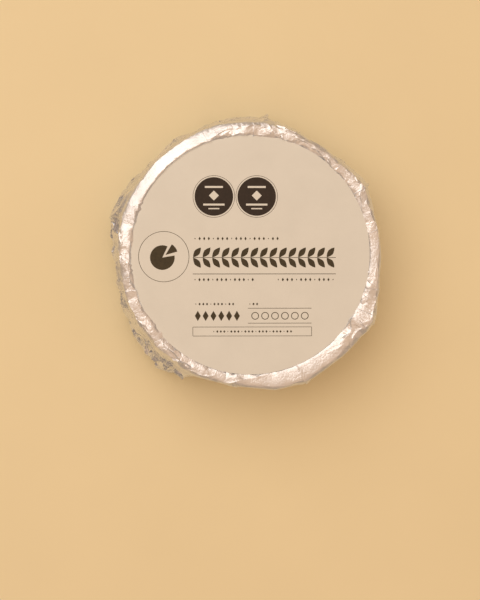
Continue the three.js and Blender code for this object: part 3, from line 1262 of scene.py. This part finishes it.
VIEW_HEIGHT = 253.1          # height of the view at the label, in millimetres
AIM = (-4.4, -19.0)          # where the camera looks, from the label's centre
SENSOR = 36.0                # the camera's sensor, which leaves the lens to set the view
KEY_PLACE = (-0.50, 0.64, 1.16)

# A warm room: bright below the horizon, a dark band just above it, and a pale ceiling. Each row is how far up
# the direction points and its colour.
SKY = (
    (0.0, "#D4B690"),
    (0.13, "#CBAF8B"),
    (0.2, "#796C63"),
    (0.34, "#958476"),
    (0.48, "#CBAC8F"),
    (0.75, "#E5BF9A"),
    (1.0, "#EAC4A0"),
)


def area_light(name, place, aim, size, power, colour):
    light = bpy.data.lights.new(name, "AREA")
    light.shape = "DISK"
    light.size = size
    light.energy = power
    light.color = linear(colour)[:3]
    lamp = bpy.data.objects.new(name, light)
    bpy.context.collection.objects.link(lamp)
    lamp.location = place
    lamp.rotation_euler = (Vector(place) - Vector(aim)).to_track_quat("Z", "Y").to_euler()
    return lamp


def add_sky(scene, strength):
    """Lights the scene from all round with the room's colours."""
    world = bpy.data.worlds.new("studio")
    world.use_nodes = True
    tree = world.node_tree
    around = add_node(tree, "ShaderNodeTexCoord").outputs["Generated"]
    upward = add_node(tree, "ShaderNodeSeparateXYZ", links={"Vector": around}).outputs["Z"]
    sky = colour_ramp(tree, upward, [(height, linear(colour)) for height, colour in SKY])
    background = tree.nodes["Background"]
    tree.links.new(sky.outputs["Color"], background.inputs["Color"])
    background.inputs["Strength"].default_value = strength
    scene.world = world


def add_camera(scene, distance, tilt):
    """A camera above the label that leans a little, and is held square to the label's print."""
    camera_data = bpy.data.cameras.new("camera")
    camera_data.sensor_width = SENSOR
    camera_data.lens = SENSOR * distance / (VIEW_HEIGHT * MM)
    camera = bpy.data.objects.new("camera", camera_data)
    bpy.context.collection.objects.link(camera)
    aim = Vector(((LABEL_CENTRE[0] + AIM[0]) * MM, (LABEL_CENTRE[1] + AIM[1]) * MM, LABEL_TOP * MM))
    lean = math.sin(tilt) / math.sqrt(2)
    back = Vector((-lean, lean, math.cos(tilt)))
    right = Vector((0, 1, 0)).cross(back).normalized()
    camera.location = aim + back * distance
    turned = back.to_track_quat("Z", "Y").to_matrix()
    turned.col[0], turned.col[1], turned.col[2] = right, back.cross(right), back
    camera.rotation_euler = turned.to_euler()
    scene.camera = camera


class CHEESE_OT_stage(bpy.types.Operator):
    """Make the floor, the light and the camera"""

    bl_idname = "cheese.stage"
    bl_label = "Stage"

    def execute(self, context):
        settings = context.scene.cheese_stage
        deselect_all()
        bpy.ops.mesh.primitive_plane_add(size=6, location=(0, 0, 0))
        floor = name_piece("floor")
        floor.data.materials.append(seamless_paper_material(tuple(settings.floor_colour)))
        add_sky(context.scene, settings.ambient)
        area_light("key_light", KEY_PLACE, (0, 0, 0.03), 1.6, settings.key_power, "#FFF8EC")
        add_camera(context.scene, settings.camera_distance, settings.camera_tilt)
        context.scene.view_settings.view_transform = "Standard"
        return {"FINISHED"}


# ---------------------------------------------------------------- panel and main

STEPS = ("stage", "cheese", "foil", "label", "label_print")


class CHEESE_PT_panel(bpy.types.Panel):
    """Lists the steps that make the wrapped cheese wheel, and their settings"""

    bl_idname = "CHEESE_PT_panel"
    bl_label = "Cheese Wheel"
    bl_space_type = "VIEW_3D"
    bl_region_type = "UI"
    bl_category = "Cheese Wheel"

    def draw(self, context):
        scene = context.scene
        for group in (scene.cheese_wheel, scene.cheese_foil, scene.cheese_label, scene.cheese_stage):
            box = self.layout.box()
            for name in group.__annotations__:
                box.prop(group, name)
        for step in STEPS:
            self.layout.operator(f"cheese.{step}")


CLASSES = (
    CheeseSettings, FoilSettings, LabelSettings, StageSettings,
    CHEESE_OT_stage, CHEESE_OT_cheese, CHEESE_OT_foil, CHEESE_OT_label, CHEESE_OT_print, CHEESE_PT_panel,
)


def register():
    for cls in CLASSES:
        bpy.utils.register_class(cls)
    bpy.types.Scene.cheese_wheel = PointerProperty(type=CheeseSettings)
    bpy.types.Scene.cheese_foil = PointerProperty(type=FoilSettings)
    bpy.types.Scene.cheese_label = PointerProperty(type=LabelSettings)
    bpy.types.Scene.cheese_stage = PointerProperty(type=StageSettings)


def unregister():
    for name in ("cheese_stage", "cheese_label", "cheese_foil", "cheese_wheel"):
        delattr(bpy.types.Scene, name)
    for cls in reversed(CLASSES):
        bpy.utils.unregister_class(cls)


def main():
    register()
    for step in STEPS:
        getattr(bpy.ops.cheese, step)()


if __name__ == "__main__":
    main()
